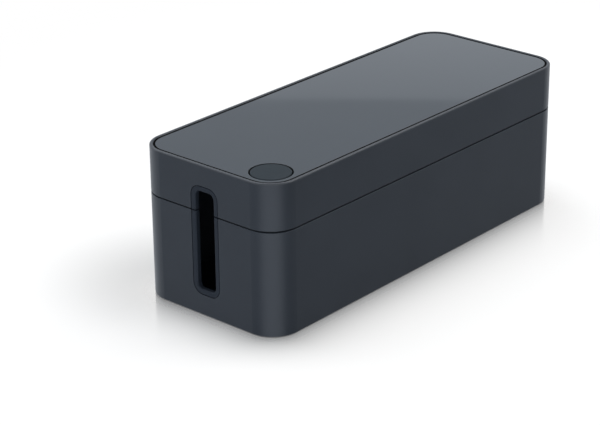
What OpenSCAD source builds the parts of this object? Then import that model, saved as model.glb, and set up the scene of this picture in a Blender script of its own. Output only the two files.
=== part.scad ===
// Cable management box: a tub with a lift-off lid, which hides a multi-socket strip.
// Each end wall has a tall cable slot, lined by a soft gland that is split at the seam,
// and one corner of the lid has a round cable port, closed by a soft plug.
// Millimetres. The origin is at the middle of the footprint, on the table. +X runs along
// the box, -Y is the long front face and +Z is up.

/* [Body] */
// Overall length
body_l = 406; // [330:1:480]
// Overall width
body_w = 156; // [130:1:190]
// Overall height, from the table to the lid's rim
body_h = 139; // [120:1:160]
// Radius of the four upright corners
corner_r = 26.6; // [22:0.1:34]
// Thickness of the upright walls
wall = 3; // [2.6:0.1:4]
// Thickness of the tub's floor
floor_t = 3; // [2.6:0.1:5]
// Rounding inside the tub and the lid, along the floor and under the deck
inside_r = 3; // [1:0.5:5]
// Rounding of the tub's lower outer edge
base_edge_r = 0.8; // [0.4:0.1:2.4]

/* [Lid and seam] */
// Height of the lid, from its lower edge to its rim
lid_h = 42.2; // [36:0.1:52]
// Shadow gap between the tub and the lid
seam_gap = 1.3; // [0.4:0.1:1.5]
// Rounding of the edges above and below the shadow gap, and of the tongue
seam_edge_r = 0.4; // [0.2:0.1:0.6]
// Thickness of the tongue on the tub, which locates the lid
tongue_t = 1.2; // [1:0.1:1.6]
// Height of the tongue above the tub's edge
tongue_h = 6; // [4:0.5:9]
// Clearance between the tongue and the lid's skirt
tongue_gap = 0.3; // [0.2:0.05:0.5]
// Width of plain wall beside each gland, where the tongue is left out
land_w = 2.4; // [1:0.1:6]
// Rounding of the lid's rim on the outside
rim_edge_r = 1.3; // [0.6:0.1:2]
// Rounding of the lid's rim on the inside, along the groove
rim_lip_r = 1.5; // [0.4:0.1:1.8]
// Thickness of the deck, which carries the top panel
deck_t = 2.4; // [1.8:0.1:4]
// Thickness of the ribs under the deck
rib_t = 1.4; // [1:0.1:2]
// Depth of the ribs under the deck
rib_h = 4; // [2:0.5:8]
// Number of ribs across the deck
cross_ribs = 5; // [2:1:8]

/* [Top panel] */
// Width of the lid's rim, outside the groove round the panel
rim_w = 3.4; // [3:0.1:5]
// Width of the groove round the panel
groove_w = 1.6; // [0.6:0.1:2]
// Thickness of the panel
panel_t = 2; // [1.4:0.1:3]
// Depth of the panel's face below the rim
panel_sink = 0.6; // [0.2:0.1:1]
// Rounding of the panel's upper edges
panel_edge_r = 0.3; // [0.2:0.1:0.8]
// Radius of the pegs that hold the panel on the deck
peg_r = 2; // [1.2:0.1:3]
// Clearance round each peg
peg_gap = 0.1; // [0.05:0.05:0.2]
// Width of each peg's staked head beyond its stem
stake_w = 1; // [0.6:0.1:1.5]
// Thickness of each peg's staked head
stake_t = 0.8; // [0.5:0.1:1.5]
// Distance from the panel's long edges to the pegs' axes
peg_inset = 12; // [8:0.5:18]

/* [Cable glands] */
// Clear width of the cable slot
slot_w = 20.5; // [14:0.5:26]
// Clear height of the cable slot
slot_h = 90; // [76:1:98]
// Radius of the slot's corners
slot_r = 5; // [2.5:0.5:6]
// Width of the gland's face round the slot
gland_band = 4.5; // [4:0.1:6]
// Fine gap between the gland's face and the wall
gland_gap = 0.7; // [0.2:0.05:0.8]
// Thickness of the gland's face, which lies flush in the wall
gland_face_t = 1.5; // [1:0.1:1.9]
// Thickness of the gland between the slot and the edge of the wall
gland_web_t = 2.4; // [1.6:0.1:3]
// Thickness of the gland's flange inside the wall
gland_back_t = 1.4; // [1.2:0.1:3]
// Clearance of the gland on the edge of the wall
gland_fit = 0.1; // [0.05:0.05:0.2]
// Rounding of the slot's front edge
gland_lip_r = 1.4; // [0.8:0.1:1.6]
// Rounding of the gland face's outer edge
gland_edge_r = 0.3; // [0.2:0.1:0.6]

/* [Cable port] */
// Radius of the soft plug's head
plug_r = 17.4; // [14:0.1:21]
// Height of the plug
plug_h = 10; // [8:0.5:14]
// Gap between the plug's head and the port
plug_gap = 1.3; // [0.8:0.1:1.6]
// Thickness of the plug's head
plug_head_t = 2.6; // [1.8:0.1:3.6]
// Thickness of the plug's skirt
plug_skirt_t = 2; // [1.4:0.1:3]
// Rounding of the plug's head
plug_edge_r = 0.6; // [0.3:0.1:1]
// Radius of the beads round the plug's skirt
bead_r = 0.7; // [0.4:0.05:0.75]
// Width of the panel between the port and the groove
port_margin = 3.8; // [3:0.1:12]
// Thickness of the collar round the port
collar_t = 1.8; // [1.2:0.1:2.6]
// Width of the seat under the plug
seat_w = 3.2; // [2.4:0.1:5]
// Thickness of the seat under the plug
seat_t = 2; // [1.4:0.1:3]

/* [Feet] */
// Radius of the rubber feet
foot_r = 8; // [6:0.5:12]
// Thickness of the feet
foot_t = 2.4; // [1.8:0.1:3]
// Height of the tub above the table
foot_lift = 0.8; // [0.6:0.1:1.5]
// Clearance round each foot in its recess
foot_gap = 0.3; // [0.2:0.05:0.5]
// Rounding of the feet
foot_edge_r = 0.5; // [0.2:0.1:0.7]

/* [Hidden] */

HOUSING = "#393d43";
PANEL = "#5f646a";
GLAND = "#2f353c";
PLUG = "#3d464b";
FOOT = "#1c1d1f";

$fn = 96;
// Overrun of every cut past the face that it opens
over = 1;

// Levels above the table
lid_z = body_h - lid_h;
tub_z = lid_z - seam_gap;
tongue_z = tub_z + tongue_h;
panel_z = body_h - panel_sink;
deck_z = panel_z - panel_t;
deck_under_z = deck_z - deck_t;
seat_z = panel_z - plug_h;
floor_z = foot_lift + floor_t;
slot_z = (foot_lift + body_h) / 2;

// The wall is halved at the seam: the lid's skirt outside, the tub's tongue inside
skirt_t = wall - tongue_t - tongue_gap;
tongue_inset = wall - tongue_t;
land_half_w = slot_w / 2 + gland_band + gland_gap + land_w;

// The panel lies in a recess of the lid
recess_l = body_l - 2 * rim_w;
recess_w = body_w - 2 * rim_w;
recess_r = corner_r - rim_w;
panel_inset = rim_w + groove_w;

// The port stands in the front left corner of the panel
port_r = plug_r + plug_gap;
port_inset = panel_inset + port_margin + port_r;
port_x = port_inset - body_l / 2;
port_y = port_inset - body_w / 2;
collar_r = port_r + collar_t;

// Ribs divide the deck into equal bays, and each bay has a peg near its two ends
bay_l = body_l / (cross_ribs + 1);
rib_y = body_w / 6;
peg_y = body_w / 2 - panel_inset - peg_inset;
port_clear = collar_r + 2 * peg_r;
peg_places = [
    for (bay = [0 : cross_ribs], side = [-1, 1])
        let (place = [(bay + 0.5) * bay_l - body_l / 2, side * peg_y])
            if (norm(place - [port_x, port_y]) > port_clear) place
];

// The gland's depth into the box, measured from the wall's outer face
gland_depth = wall + gland_fit + gland_back_t;

// Beads sit at equal shares of the plug's skirt
bead_shares = [0.3, 0.7];

// The feet lie under the axes of the four corners
foot_x = body_l / 2 - corner_r;
foot_y = body_w / 2 - corner_r;

// Sweeps a section round a rounded rectangle. The section's x is measured outwards from
// the rectangle's edge, and its y points up.
module swept_frame(l, w, r) {
    for (turn = [0 : 3]) {
        run = turn % 2 == 0 ? l - 2 * r : w - 2 * r;
        reach = turn % 2 == 0 ? w / 2 : l / 2;
        rotate([0, 0, 90 * turn])
            translate([-run / 2, reach, 0])
                rotate([90, 0, 90])
                    linear_extrude(run) children();
        rotate([0, 0, 90 * turn])
            translate([run / 2, reach - r, 0])
                rotate_extrude(angle = 90) translate([r, 0]) children();
    }
}

// What is cut away to round a square corner at the origin's upper right
module corner_waste(r) {
    difference() {
        square(r + over);
        circle(r);
    }
}

// Half section of a plate, from an axis out to its edge, rounded above and below
module edge_section(r, h, top_r, low_r) {
    difference() {
        square([r, h]);
        if (top_r > 0) translate([r - top_r, h - top_r]) corner_waste(top_r);
        if (low_r > 0) translate([r - low_r, low_r]) mirror([0, 1]) corner_waste(low_r);
    }
}

// A plate with upright corners of radius r, standing on z
module rounded_plate(l, w, r, z, h, top_r = 0, low_r = 0) {
    translate([0, 0, z]) {
        linear_extrude(h) square([l - 2 * r, w - 2 * r], center = true);
        swept_frame(l, w, r) translate([-r, 0]) edge_section(r, h, top_r, low_r);
    }
}

// The same plate, drawn inwards from the box's outer faces
module inset_plate(inset, z, h, top_r = 0, low_r = 0) {
    rounded_plate(body_l - 2 * inset, body_w - 2 * inset, corner_r - inset, z, h, top_r, low_r);
}

// What a recess needs at its mouth, at height 0, so that its edge is rounded
module mouth_waste(r) {
    translate([0, -r])
        difference() {
            square([r, r + over]);
            translate([r, 0]) circle(r);
        }
}

// Turns a flat figure on the slot's middle into the right end wall, facing +X, and then
// the same for the left end wall
module on_right_end() {
    translate([body_l / 2, 0, slot_z]) rotate([90, 0, 90]) children();
}

module on_both_ends() {
    on_right_end() children();
    rotate([0, 0, 180]) on_right_end() children();
}

// A cut through an end wall, with the slot's outline grown by a margin
module slot_cut(margin, depth) {
    r = slot_r + margin;
    translate([0, 0, -depth])
        rounded_plate(slot_w + 2 * margin, slot_h + 2 * margin, r, 0, depth + over);
}

// The stepped hole in both end walls: a lip that the gland grips, and a seat for its face
module gland_holes() {
    on_both_ends() slot_cut(gland_web_t + gland_fit, wall + over);
    on_both_ends() slot_cut(gland_band + gland_gap, gland_face_t + gland_fit);
}

// Stretches of both end walls that keep their full thickness at the seam
module end_lands(half_w, z, h) {
    for (side = [-1, 1])
        translate([side * body_l / 2 - 2 * wall, -half_w, z]) cube([4 * wall, 2 * half_w, h]);
}

// The gland's channel section: x runs from the slot's edge outwards, y from the wall's face
module gland_section() {
    difference() {
        translate([0, -gland_depth]) square([gland_band, gland_depth]);
        translate([gland_web_t, -gland_depth + gland_back_t])
            square([gland_band, gland_depth - gland_back_t - gland_face_t]);
        translate([gland_band - gland_edge_r, -gland_edge_r]) corner_waste(gland_edge_r);
        translate([gland_lip_r, -gland_lip_r]) mirror([1, 0]) corner_waste(gland_lip_r);
    }
}

module right_gland() {
    on_right_end() swept_frame(slot_w, slot_h, slot_r) gland_section();
}

// A block round the right gland, between two levels, which splits it at the seam
module gland_block(low_z, high_z) {
    translate([body_l / 2 - 2 * gland_depth, -land_half_w, low_z])
        cube([4 * gland_depth, 2 * land_half_w, high_z - low_z]);
}

module right_gland_below() {
    difference() {
        right_gland();
        gland_block(tub_z, body_h);
    }
}

module right_gland_above() {
    difference() {
        right_gland();
        gland_block(0, lid_z);
    }
}

// The tongue runs on round the tub's edge, except beside the glands
module tongue() {
    difference() {
        inset_plate(tongue_inset, floor_z, tongue_z - floor_z, seam_edge_r);
        end_lands(land_half_w + tongue_gap, tub_z, tongue_h + over);
    }
}

module base_tub() {
    color(HOUSING)
        difference() {
            union() {
                inset_plate(0, foot_lift, tub_z - foot_lift, seam_edge_r, base_edge_r);
                tongue();
            }
            inset_plate(wall, floor_z, body_h, 0, inside_r);
            gland_holes();
            for (x = [-foot_x, foot_x], y = [-foot_y, foot_y])
                translate([x, y, 0]) cylinder(r = foot_r + foot_gap, h = foot_t);
        }
}

module left_lower_gland() {
    color(GLAND) rotate([0, 0, 180]) right_gland_below();
}

module right_lower_gland() {
    color(GLAND) right_gland_below();
}

// A foot is a disc with a rounded lower edge, let into the tub's underside
module foot(x, y) {
    color(FOOT)
        translate([x, y, 0])
            rotate_extrude() edge_section(foot_r, foot_t, 0, foot_edge_r);
}

module foot_front_left() {
    foot(-foot_x, -foot_y);
}

module foot_front_right() {
    foot(foot_x, -foot_y);
}

module foot_back_left() {
    foot(-foot_x, foot_y);
}

module foot_back_right() {
    foot(foot_x, foot_y);
}

// Ribs under the deck. Their ends and tops run on into the walls and the deck.
module deck_ribs() {
    low_z = deck_under_z - rib_h;
    high = rib_h + deck_t / 2;
    for (rib = [1 : cross_ribs])
        translate([rib * bay_l - body_l / 2 - rib_t / 2, wall / 2 - body_w / 2, low_z])
            cube([rib_t, body_w - wall, high]);
    for (side = [-1, 1])
        translate([wall / 2 - body_l / 2, side * rib_y - rib_t / 2, low_z])
            cube([body_l - wall, rib_t, high]);
}

// The collar that hangs under the port, before it is bored
module port_collar() {
    translate([port_x, port_y, seat_z - seat_t])
        cylinder(r = collar_r, h = deck_z - seat_z + seat_t);
}

// The port's stepped bore, down to the seat and on through it
module port_bore() {
    translate([port_x, port_y, seat_z]) cylinder(r = port_r, h = plug_h + over);
    translate([port_x, port_y, seat_z - seat_t - over])
        cylinder(r = port_r - seat_w, h = seat_t + 2 * over);
}

// The recess for the panel, with its mouth rounded along the rim
module panel_recess() {
    rounded_plate(recess_l, recess_w, recess_r, deck_z, body_h - deck_z + over);
    translate([0, 0, body_h]) swept_frame(recess_l, recess_w, recess_r) mouth_waste(rim_lip_r);
}

// Room in the lid for the tub's tongue
module tongue_room() {
    difference() {
        inset_plate(skirt_t, lid_z - over, tongue_z - lid_z + over);
        end_lands(land_half_w, lid_z - 2 * over, tongue_h + 2 * over);
    }
}

module lid_shell() {
    color(HOUSING)
        difference() {
            union() {
                difference() {
                    inset_plate(0, lid_z, lid_h, rim_edge_r, seam_edge_r);
                    inset_plate(wall, lid_z - over, deck_under_z - lid_z + over, inside_r);
                }
                deck_ribs();
                port_collar();
            }
            tongue_room();
            panel_recess();
            port_bore();
            gland_holes();
            for (place = peg_places)
                translate([place[0], place[1], deck_under_z - over])
                    cylinder(r = peg_r + peg_gap, h = deck_t + 2 * over);
        }
}

// A peg under the panel, with a head staked over below the deck
module peg() {
    translate([0, 0, deck_under_z]) cylinder(r = peg_r, h = deck_t + panel_t / 2);
    translate([0, 0, deck_under_z - stake_t]) cylinder(r = peg_r + stake_w, h = stake_t);
}

module top_panel() {
    color(PANEL)
        difference() {
            union() {
                inset_plate(panel_inset, deck_z, panel_t, panel_edge_r);
                for (place = peg_places)
                    translate([place[0], place[1], 0]) peg();
            }
            translate([port_x, port_y, deck_z - over]) cylinder(r = port_r, h = panel_t + 2 * over);
            translate([port_x, port_y, panel_z])
                rotate_extrude() translate([port_r, 0]) mouth_waste(panel_edge_r);
        }
}

module left_upper_gland() {
    color(GLAND) rotate([0, 0, 180]) right_gland_above();
}

module right_upper_gland() {
    color(GLAND) right_gland_above();
}

// The plug's half section: a head with a beaded skirt below it
module plug_section() {
    skirt_h = plug_h - plug_head_t;
    difference() {
        edge_section(plug_r, plug_h, plug_edge_r, 0);
        translate([0, -over]) square([plug_r - plug_skirt_t, skirt_h + over]);
    }
    for (share = bead_shares)
        translate([plug_r, share * skirt_h]) circle(bead_r);
}

module port_plug() {
    color(PLUG) translate([port_x, port_y, seat_z]) rotate_extrude() plug_section();
}

base_tub();
left_lower_gland();
right_lower_gland();
foot_front_left();
foot_front_right();
foot_back_left();
foot_back_right();
lid_shell();
top_panel();
left_upper_gland();
right_upper_gland();
port_plug();
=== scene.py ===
"""Looks for the cable management box: its finishes, the floor, the light and the camera.

Everything is in metres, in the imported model's frame: the origin is in the middle of the
footprint, on the table, +X runs along the box and +Z is up. Angles are in degrees. An
azimuth of 0 is in front of the long face, and -90 is beyond the left end.
"""

import math

import bpy
from mathutils import Matrix, Vector

MM = 0.001
WHITE = (1, 1, 1, 1)
# A vector multiplied by this loses its height
FLATTEN = (1, 1, 0)

# The photograph's frame, and the camera that its perspective gives
PHOTO_W = 600
PHOTO_H = 425
SENSOR_W = 36
CAM_AZIMUTH = -50.1007
CAM_ELEVATION = 23.4971
CAM_DISTANCE = 1.81909
CAM_AIM_Z = 0.07
CAM_RIGHT = -0.010533
CAM_UP = -0.036308
CAM_FOCAL_PX = 2004.065
CAM_CENTRE_X = 348.360
CAM_CENTRE_Y = 211.440
CAM_CLIP_END = 50

# Plan of the box, which the masks of its recesses and the floor's shading follow
PLAN_L = 406 * MM
PLAN_W = 156 * MM
PLAN_R = 26.6 * MM

# Recesses, which are fully rough and have shade painted into them as a dark tint: the groove
# round the panel, the bore round the plug and the foot of the tongue in the seam. The sides are
# measured in from the box's outer face, or out from the plug's axis, and each mask fades over
# its blur.
GROOVE_SIDES = (2.9 * MM, 5.3 * MM)
GROOVE_HEIGHTS = (136.1 * MM, 138.5 * MM)
GROOVE_BLUR = 0.2 * MM
PORT_AXIS = (-175.5 * MM, -50.5 * MM, 0)
PORT_SIDES = (17.45 * MM, 19.0 * MM)
PORT_HEIGHTS = (128.2 * MM, 138.35 * MM)
PORT_BLUR = 0.1 * MM
SEAM_SIDES = (1.4 * MM, 2.3 * MM)
SEAM_HEIGHTS = (95.55 * MM, 96.75 * MM)
SEAM_BLUR = 0.1 * MM
# Share of the colour left in the recesses, which paints their shade
RECESS_PAINTED_SHADE = 0.04

# The rim's outer shoulder, where a highlight is painted as a lighter tint: its levels and the
# tint
CREST_LOW = 137.4 * MM
CREST_HIGH = 138.3 * MM
CREST_REACH = 1.6 * MM
CREST_BLUR = 0.8 * MM
CREST_HIGHLIGHT_TINT = (0.052, 0.057, 0.066)

# What all the finishes share. A noise has a scale, a detail and a roughness, and a range is
# the part of the noise that is stretched over the whole effect.
CLOUD_NOISE = (14, 4, 0.55)
CLOUD_RANGE = (0.3, 0.7)
DOTS_TO_GRAIN = 0.6
DOTS_SHAPE = (2, 0.6)
DOTS_RANGE = (0.35, 0.75)
DOTS_GAIN = 2.2
GRAIN_SHAPE = (3, 0.6)
STREAK_NOISE = (30, 5, 0.6)
STREAK_RANGE = (0.3, 0.7)

# Edges that handling has worn: they are lighter and smoother, in scuffs
WEAR_REACH = 0.7 * MM
WEAR_SAMPLES = 6
WEAR_FROM = 0.995
WEAR_FULL = 0.9
WEAR_GAIN = 2.6
WEAR_POLISH = 0.25
SCUFF_NOISE = (90, 5, 0.65)
SCUFF_RANGE = (0.35, 0.7)
SCUFF_LEAST = 0.35

# The finishes. Variation and speckle are shares of the tint, and the spread is of roughness.
FINISHES = {
    "housing_plastic": {
        "colour": (0.028, 0.034, 0.044), "variation": 0.05, "speckle": 0.04, "wear": 0.2,
        "roughness": 0.34, "spread": 0.03, "specular": 0.25,
        "grain_size": 0.45 * MM, "grain_depth": 0.006 * MM,
    },
    "panel_plastic": {
        "colour": (0.029, 0.038, 0.049), "variation": 0.03, "speckle": 0.02, "wear": 0.15,
        "roughness": 0.025, "spread": 0.006, "specular": 0.5,
        "grain_size": 0.5 * MM, "grain_depth": 0.0001 * MM,
    },
    "gland_rubber": {
        "colour": (0.016, 0.021, 0.030), "variation": 0.08, "speckle": 0.04, "wear": 0.12,
        "roughness": 0.6, "spread": 0.03, "specular": 0.15,
        "grain_size": 0.6 * MM, "grain_depth": 0.01 * MM,
    },
    "plug_rubber": {
        "colour": (0.0175, 0.025, 0.0315), "variation": 0.06, "speckle": 0.04, "wear": 0.15,
        "roughness": 0.55, "spread": 0.03, "specular": 0.12,
        "grain_size": 0.55 * MM, "grain_depth": 0.01 * MM,
    },
    "foot_rubber": {
        "colour": (0.010, 0.010, 0.011), "variation": 0.12, "speckle": 0.04, "wear": 0.1,
        "roughness": 0.75, "spread": 0.03, "specular": 0.2,
        "grain_size": 0.8 * MM, "grain_depth": 0.03 * MM,
    },
}
# The finish of each node whose name contains the word
FINISH_OF = {
    "tub": "housing_plastic",
    "shell": "housing_plastic",
    "panel": "panel_plastic",
    "plug": "plug_rubber",
    "gland": "gland_rubber",
    "foot": "foot_rubber",
}

# Light from above the horizon: a bright band low down, which the glossy panel mirrors, a
# softer sky over it, and less of both from the front
SKY_TINT = (0.95, 1.0, 1.06)
SKY_LEVEL = 0.60
BAND_SLOPE = 18.4
BAND_EDGE = 20.27
BAND_TOP = 20.31
BAND_LEVEL = 0.93
BAND_LEVEL_HIGH = 0.80
BACK_AZIMUTH = 128
FRONT_DIM = 0.35
# Above what the panel mirrors, a soft light that picks out the rim
HIGH_AZIMUTH = 180
HIGH_ELEVATION = 56
HIGH_REACH = 34
HIGH_CORE = 8
HIGH_LEVEL = 2.4
# Below the horizon the box's sides mirror a dim studio, with a pool of light before the
# camera and a bright field behind the box
HORIZON_BLUR = 0.02
LOW_LEVEL = 0.215
POOL_AZIMUTH = -49
POOL_REACH = 54
POOL_CORE = 4
POOL_LEVEL = 1.86
FIELD_AZIMUTH = 142
FIELD_REACH = 84
FIELD_CORE = 71
FIELD_LEVEL = 0.95

# The lamps. Only the key lamp shows in mirror images.
LAMP_DISTANCE = 2.2
LAMPS = {
    "key": {"aim": (66, 58), "size": (1.4, 1.4), "watts": 24, "mirrored": True},
    "side": {"aim": (-92, 12), "size": (1.0, 0.6), "watts": 12, "mirrored": False},
    "fill": {"aim": (-45, 10), "size": (1.0, 0.6), "watts": 9, "mirrored": False},
}

# The floor: what it gives back to other surfaces, and how the camera sees it. Near the box
# it is part glow and part lit, so that it holds the shadow, and far from it plain white.
FLOOR_SIZE = 12
FLOOR_TINT = (1.02, 1.0, 0.97)
FLOOR_ALBEDO = 0.65
FLOOR_LIT = 0.42
FLOOR_GLOW = 0.57
GLOW_EDGE = 2 * MM
SHADE_NEAR = 0.25
SHADE_FAR = 0.62
# A broad, soft shadow painted on the floor behind the left end
PAINTED_SHADOW_PLACE = (-165 * MM, 98 * MM, 0)
PAINTED_SHADOW_REACH = 138 * MM
PAINTED_SHADOW_DEPTH = 0.25
# The box's mirror image, which fades with the distance from the box
MIRROR_SHARE = 0.66
MIRROR_REACH = 105 * MM
MIRROR_FADE = 4.4
MIRROR_TINT = (1.38, 1.30, 1.22)
MIRROR_ROUGHNESS = 0.12


# Node helpers. Each takes plain values or output sockets, which get linked.

def put(tree, value, socket):
    if isinstance(value, bpy.types.NodeSocket):
        tree.links.new(value, socket)
    else:
        socket.default_value = value


def add(tree, kind, inputs=None, **settings):
    node = tree.nodes.new(kind)
    for name, value in settings.items():
        setattr(node, name, value)
    for key, value in (inputs or {}).items():
        put(tree, value, node.inputs[key])
    return node


def math_node(tree, operation, first, *others):
    """A math operation on two values, or one after another on more."""
    result = first
    for value in others:
        node = add(tree, "ShaderNodeMath", {0: result, 1: value}, operation=operation)
        result = node.outputs[0]
    return result


def vector_node(tree, operation, *values):
    node = add(tree, "ShaderNodeVectorMath", dict(enumerate(values)), operation=operation)
    return node.outputs["Value" if operation in ("LENGTH", "DOT_PRODUCT") else "Vector"]


def ramp(tree, value, low, high, to_low=0.0, to_high=1.0, smooth=False):
    node = add(
        tree,
        "ShaderNodeMapRange",
        {"Value": value, "From Min": low, "From Max": high, "To Min": to_low, "To Max": to_high},
        interpolation_type="SMOOTHSTEP" if smooth else "LINEAR",
    )
    return node.outputs["Result"]


def window(tree, value, span, blur):
    """1 within a span of the value and 0 outside it, with a fade at each end."""
    low, high = span
    rise = ramp(tree, value, low, low + blur)
    return math_node(tree, "MULTIPLY", rise, ramp(tree, value, high - blur, high, 1, 0))


def noise(tree, where, scale, detail, roughness):
    node = add(
        tree,
        "ShaderNodeTexNoise",
        {"Vector": where, "Scale": scale, "Detail": detail, "Roughness": roughness},
    )
    return node.outputs["Fac"]


def mix_values(tree, share, a, b):
    return add(tree, "ShaderNodeMix", {0: share, 2: a, 3: b}).outputs[0]


def mix_colours(tree, share, a, b):
    return add(tree, "ShaderNodeMix", {0: share, 6: a, 7: b}, data_type="RGBA").outputs[2]


def mix_shaders(tree, share, a, b):
    return add(tree, "ShaderNodeMixShader", {0: share, 1: a, 2: b}).outputs[0]


def height_of(tree, place):
    return add(tree, "ShaderNodeSeparateXYZ", {"Vector": place}).outputs["Z"]


def rgba(colour, gain=1.0):
    return (colour[0] * gain, colour[1] * gain, colour[2] * gain, 1.0)


def fresh_tree(owner):
    """The node tree of a material or of the world, emptied."""
    owner.use_nodes = True
    owner.node_tree.nodes.clear()
    return owner.node_tree


# Finishes

def inward(tree, place):
    """Distance of a place in from the box's upright outer face."""
    core = (PLAN_L / 2 - PLAN_R, PLAN_W / 2 - PLAN_R, 0)
    spread = vector_node(tree, "ABSOLUTE", vector_node(tree, "MULTIPLY", place, FLATTEN))
    beyond = vector_node(tree, "SUBTRACT", spread, core)
    outside = vector_node(tree, "MAXIMUM", beyond, (0, 0, 0))
    return math_node(tree, "SUBTRACT", PLAN_R, vector_node(tree, "LENGTH", outside))


def recess_rough_and_shade_mask(tree, place, height, inset):
    """Where shade is painted into the recesses and they are made fully rough: 1 on the walls of
    the groove and of the bore, and deep in the seam, and 0 elsewhere.
    """
    apart = vector_node(tree, "SUBTRACT", place, PORT_AXIS)
    radius = vector_node(tree, "LENGTH", vector_node(tree, "MULTIPLY", apart, FLATTEN))
    masks = [
        math_node(
            tree,
            "MULTIPLY",
            window(tree, across, sides, blur),
            window(tree, height, heights, blur),
        )
        for across, sides, heights, blur in (
            (inset, GROOVE_SIDES, GROOVE_HEIGHTS, GROOVE_BLUR),
            (radius, PORT_SIDES, PORT_HEIGHTS, PORT_BLUR),
            (inset, SEAM_SIDES, SEAM_HEIGHTS, SEAM_BLUR),
        )
    ]
    return math_node(tree, "MAXIMUM", *masks)


def crest_highlight_mask(tree, height, inset):
    """1 on the rim's outer shoulder, where a highlight is painted, and 0 elsewhere."""
    outer = ramp(tree, inset, CREST_REACH, CREST_REACH + CREST_BLUR, 1, 0)
    return math_node(tree, "MULTIPLY", outer, ramp(tree, height, CREST_LOW, CREST_HIGH))


def wear_mask(tree, where, wear):
    """How worn a place is: up to the given share on outer edges, in scuffs, and 0 elsewhere."""
    bevel = add(tree, "ShaderNodeBevel", {"Radius": WEAR_REACH}, samples=WEAR_SAMPLES)
    true_normal = tree.nodes.new("ShaderNodeNewGeometry").outputs["Normal"]
    bend = vector_node(tree, "DOT_PRODUCT", bevel.outputs["Normal"], true_normal)
    edges = ramp(tree, bend, WEAR_FROM, WEAR_FULL)
    scuffs = ramp(tree, noise(tree, where, *SCUFF_NOISE), *SCUFF_RANGE, SCUFF_LEAST, 1)
    return math_node(tree, "MULTIPLY", edges, scuffs, wear)


def grained_tint(tree, where, look):
    """The finish's colour with its clouds and its fine speckle."""
    colour = look["colour"]
    cloud = ramp(tree, noise(tree, where, *CLOUD_NOISE), *CLOUD_RANGE)
    darker = rgba(colour, 1 - look["variation"])
    lighter = rgba(colour, 1 + look["variation"])
    dots = noise(tree, where, DOTS_TO_GRAIN / look["grain_size"], *DOTS_SHAPE)
    speckle = ramp(tree, dots, *DOTS_RANGE, 0, look["speckle"])
    cloudy = mix_colours(tree, cloud, darker, lighter)
    return mix_colours(tree, speckle, cloudy, rgba(colour, DOTS_GAIN))


def moulded(name, look):
    """A moulded finish: cloudy tint, fine speckle and grain, edges polished by handling, a
    highlight painted on the rim's shoulder and shade painted into the recesses.
    """
    mat = bpy.data.materials.new(name)
    tree = fresh_tree(mat)
    where = tree.nodes.new("ShaderNodeTexCoord").outputs["Object"]
    height = height_of(tree, where)
    inset = inward(tree, where)
    matt_and_painted_shade = recess_rough_and_shade_mask(tree, where, height, inset)
    worn = wear_mask(tree, where, look["wear"])

    tint = grained_tint(tree, where, look)
    tint = mix_colours(tree, worn, tint, rgba(look["colour"], WEAR_GAIN))
    # A highlight painted on the rim's outer shoulder, as a lighter tint
    tint = mix_colours(tree, crest_highlight_mask(tree, height, inset), tint, rgba(CREST_HIGHLIGHT_TINT))
    # Shade painted into the recesses: the groove, the bore round the plug and the seam are
    # darkened
    tint = mix_colours(tree, matt_and_painted_shade, tint, rgba(look["colour"], RECESS_PAINTED_SHADE))

    smoothest = look["roughness"] - look["spread"]
    roughest = look["roughness"] + look["spread"]
    streaks = noise(tree, where, *STREAK_NOISE)
    rough = ramp(tree, streaks, *STREAK_RANGE, smoothest, roughest)
    rough = math_node(tree, "SUBTRACT", rough, math_node(tree, "MULTIPLY", worn, WEAR_POLISH))
    rough = math_node(tree, "MAXIMUM", rough, matt_and_painted_shade)

    grain = noise(tree, where, 1 / look["grain_size"], *GRAIN_SHAPE)
    bump = add(tree, "ShaderNodeBump", {"Height": grain, "Distance": look["grain_depth"]})
    shader = add(
        tree,
        "ShaderNodeBsdfPrincipled",
        {
            "Base Color": tint,
            "Roughness": rough,
            "Specular IOR Level": look["specular"],
            "Normal": bump.outputs["Normal"],
        },
    )
    add(tree, "ShaderNodeOutputMaterial", {"Surface": shader.outputs["BSDF"]})
    return mat


def dress(nodes):
    """Gives every CAD node its finish."""
    materials = {name: moulded(name, look) for name, look in FINISHES.items()}
    for name, obj in nodes.items():
        word = next(word for word in FINISH_OF if word in name)
        for material_slot in obj.material_slots:
            material_slot.material = materials[FINISH_OF[word]]


# Floor

def emission(tree, strength):
    return add(tree, "ShaderNodeEmission", {"Color": WHITE, "Strength": strength}).outputs[0]


def diffuse(tree, share):
    return add(tree, "ShaderNodeBsdfDiffuse", {"Color": rgba(FLOOR_TINT, share)}).outputs[0]


def shaded_floor(tree, place, away):
    """White far from the box, and near it the glowing and lit floor with its shadows, darkened
    further by a shadow painted behind the left end.
    """
    glow = emission(tree, ramp(tree, away, -GLOW_EDGE, 0, 0, FLOOR_GLOW, smooth=True))
    shaded = add(tree, "ShaderNodeAddShader", {0: glow, 1: diffuse(tree, FLOOR_LIT)})
    near = ramp(tree, away, SHADE_NEAR, SHADE_FAR, 1, 0, smooth=True)
    open_floor = mix_shaders(tree, near, emission(tree, 1), shaded.outputs[0])
    # A shadow painted on the floor behind the left end: the floor fades towards black near that
    # place
    gap = vector_node(tree, "LENGTH", vector_node(tree, "SUBTRACT", place, PAINTED_SHADOW_PLACE))
    painted_shadow = ramp(tree, gap, 0, PAINTED_SHADOW_REACH, PAINTED_SHADOW_DEPTH, 0, smooth=True)
    return mix_shaders(tree, painted_shadow, open_floor, emission(tree, 0))


def floor_mirror(tree):
    """The floor's gloss, which shows the box's mirror image."""
    mirror = add(
        tree,
        "ShaderNodeBsdfAnisotropic",
        {"Color": rgba(MIRROR_TINT), "Roughness": MIRROR_ROUGHNESS},
    )
    return mirror.outputs[0]


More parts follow.
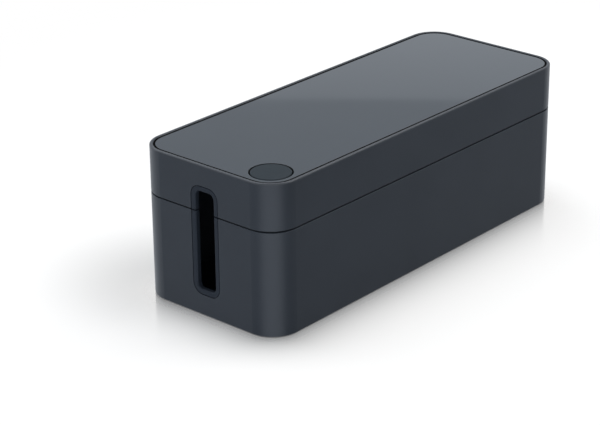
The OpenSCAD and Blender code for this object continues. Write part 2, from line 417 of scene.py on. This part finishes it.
def floor_material():
    """The camera sees the shaded floor and the mirror image, and mirror images see past it."""
    mat = bpy.data.materials.new("floor_white")
    tree = fresh_tree(mat)
    place = tree.nodes.new("ShaderNodeNewGeometry").outputs["Position"]
    away = math_node(tree, "MULTIPLY", inward(tree, place), -1)
    fade = math_node(tree, "POWER", ramp(tree, away, 0, MIRROR_REACH, 1, 0), MIRROR_FADE)
    share = math_node(tree, "MULTIPLY", fade, MIRROR_SHARE)
    seen = mix_shaders(tree, share, shaded_floor(tree, place, away), floor_mirror(tree))

    rays = tree.nodes.new("ShaderNodeLightPath").outputs
    clear = tree.nodes.new("ShaderNodeBsdfTransparent").outputs[0]
    others = mix_shaders(tree, rays["Is Glossy Ray"], diffuse(tree, FLOOR_ALBEDO), clear)
    surface = mix_shaders(tree, rays["Is Camera Ray"], others, seen)
    add(tree, "ShaderNodeOutputMaterial", {"Surface": surface})
    return mat


def make_floor():
    mesh = bpy.data.meshes.new("floor")
    h = FLOOR_SIZE / 2
    mesh.from_pydata([(-h, -h, 0), (h, -h, 0), (h, h, 0), (-h, h, 0)], [], [(0, 1, 2, 3)])
    floor = bpy.data.objects.new("floor", mesh)
    bpy.context.scene.collection.objects.link(floor)
    mesh.materials.append(floor_material())


# Light and camera

def sine(degrees):
    return math.sin(math.radians(degrees))


def cosine(degrees):
    return math.cos(math.radians(degrees))


def bearing(azimuth, elevation=0):
    """The unit vector that points that way from the box."""
    level = cosine(elevation)
    return (sine(azimuth) * level, -cosine(azimuth) * level, sine(elevation))


def patch(tree, direction, centre, reach, core, level):
    """Light of the given level within the core angle of a centre, and none past the reach."""
    near = vector_node(tree, "DOT_PRODUCT", direction, centre)
    return ramp(tree, near, cosine(reach), cosine(core), 0, level, smooth=True)


def light_above(tree, ray, flat, height):
    """The band and the sky over it, dimmer in front, and the high light."""
    band = ramp(tree, height, sine(BAND_SLOPE), sine(BAND_EDGE), BAND_LEVEL, BAND_LEVEL_HIGH)
    over = ramp(tree, height, sine(BAND_EDGE), sine(BAND_TOP), smooth=True)
    back = vector_node(tree, "DOT_PRODUCT", flat, bearing(BACK_AZIMUTH))
    dim = ramp(tree, back, -1, 1, FRONT_DIM, 1)
    sky = math_node(tree, "MULTIPLY", mix_values(tree, over, band, SKY_LEVEL), dim)
    centre = bearing(HIGH_AZIMUTH, HIGH_ELEVATION)
    return math_node(
        tree, "ADD", sky, patch(tree, ray, centre, HIGH_REACH, HIGH_CORE, HIGH_LEVEL)
    )


def light_below(tree, flat):
    """The dim studio with its pool of light and its bright field."""
    pool = bearing(POOL_AZIMUTH)
    field = bearing(FIELD_AZIMUTH)
    return math_node(
        tree,
        "ADD",
        LOW_LEVEL,
        patch(tree, flat, pool, POOL_REACH, POOL_CORE, POOL_LEVEL - LOW_LEVEL),
        patch(tree, flat, field, FIELD_REACH, FIELD_CORE, FIELD_LEVEL - LOW_LEVEL),
    )


def make_world():
    """A plain studio: white to the camera, and lights and dimmer parts to all other rays."""
    world = bpy.data.worlds.new("studio")
    bpy.context.scene.world = world
    tree = fresh_tree(world)
    ray = tree.nodes.new("ShaderNodeTexCoord").outputs["Generated"]
    flat = vector_node(tree, "NORMALIZE", vector_node(tree, "MULTIPLY", ray, FLATTEN))
    height = height_of(tree, ray)
    above = light_above(tree, ray, flat, height)
    horizon = ramp(tree, height, -HORIZON_BLUR, HORIZON_BLUR)
    level = mix_values(tree, horizon, light_below(tree, flat), above)
    studio = add(tree, "ShaderNodeBackground", {"Color": rgba(SKY_TINT), "Strength": level})
    white = add(tree, "ShaderNodeBackground", {"Color": WHITE, "Strength": 1})
    to_camera = tree.nodes.new("ShaderNodeLightPath").outputs["Is Camera Ray"]
    surface = mix_shaders(tree, to_camera, studio.outputs[0], white.outputs[0])
    add(tree, "ShaderNodeOutputWorld", {"Surface": surface})


def make_lamp(name, aim, size, watts, mirrored):
    """An area lamp in the direction of the aim, turned to the middle of the box."""
    back = Vector(bearing(*aim))
    data = bpy.data.lights.new(name, "AREA")
    data.shape = "RECTANGLE"
    data.size, data.size_y = size
    data.energy = watts
    lamp = bpy.data.objects.new(name, data)
    lamp.location = Vector((0, 0, CAM_AIM_Z)) + LAMP_DISTANCE * back
    lamp.rotation_euler = back.to_track_quat("Z", "Y").to_euler()
    lamp.visible_glossy = mirrored
    bpy.context.scene.collection.objects.link(lamp)


def make_camera():
    back = Vector(bearing(CAM_AZIMUTH, CAM_ELEVATION))
    right = Vector(bearing(CAM_AZIMUTH + 90))
    up = back.cross(right)
    aim = Vector((0, 0, CAM_AIM_Z)) + CAM_RIGHT * right + CAM_UP * up
    data = bpy.data.cameras.new("camera")
    data.sensor_fit = "HORIZONTAL"
    data.sensor_width = SENSOR_W
    data.lens = CAM_FOCAL_PX / PHOTO_W * SENSOR_W
    data.shift_x = (PHOTO_W / 2 - CAM_CENTRE_X) / PHOTO_W
    data.shift_y = (CAM_CENTRE_Y - PHOTO_H / 2) / PHOTO_W
    data.clip_end = CAM_CLIP_END
    camera = bpy.data.objects.new("camera", data)
    turn = Matrix((right, up, back)).transposed().to_4x4()
    camera.matrix_world = Matrix.Translation(aim + CAM_DISTANCE * back) @ turn
    bpy.context.scene.collection.objects.link(camera)
    bpy.context.scene.camera = camera


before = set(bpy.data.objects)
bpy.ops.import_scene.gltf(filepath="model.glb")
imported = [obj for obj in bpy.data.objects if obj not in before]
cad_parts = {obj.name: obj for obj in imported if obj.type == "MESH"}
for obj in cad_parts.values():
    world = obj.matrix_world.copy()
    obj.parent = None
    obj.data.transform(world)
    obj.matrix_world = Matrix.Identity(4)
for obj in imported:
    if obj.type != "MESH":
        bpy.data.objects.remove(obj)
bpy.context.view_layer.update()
bpy.context.scene.view_settings.view_transform = "Standard"
make_camera()
make_world()
for lamp_name, lamp_values in LAMPS.items():
    make_lamp(lamp_name, **lamp_values)
make_floor()
dress(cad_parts)
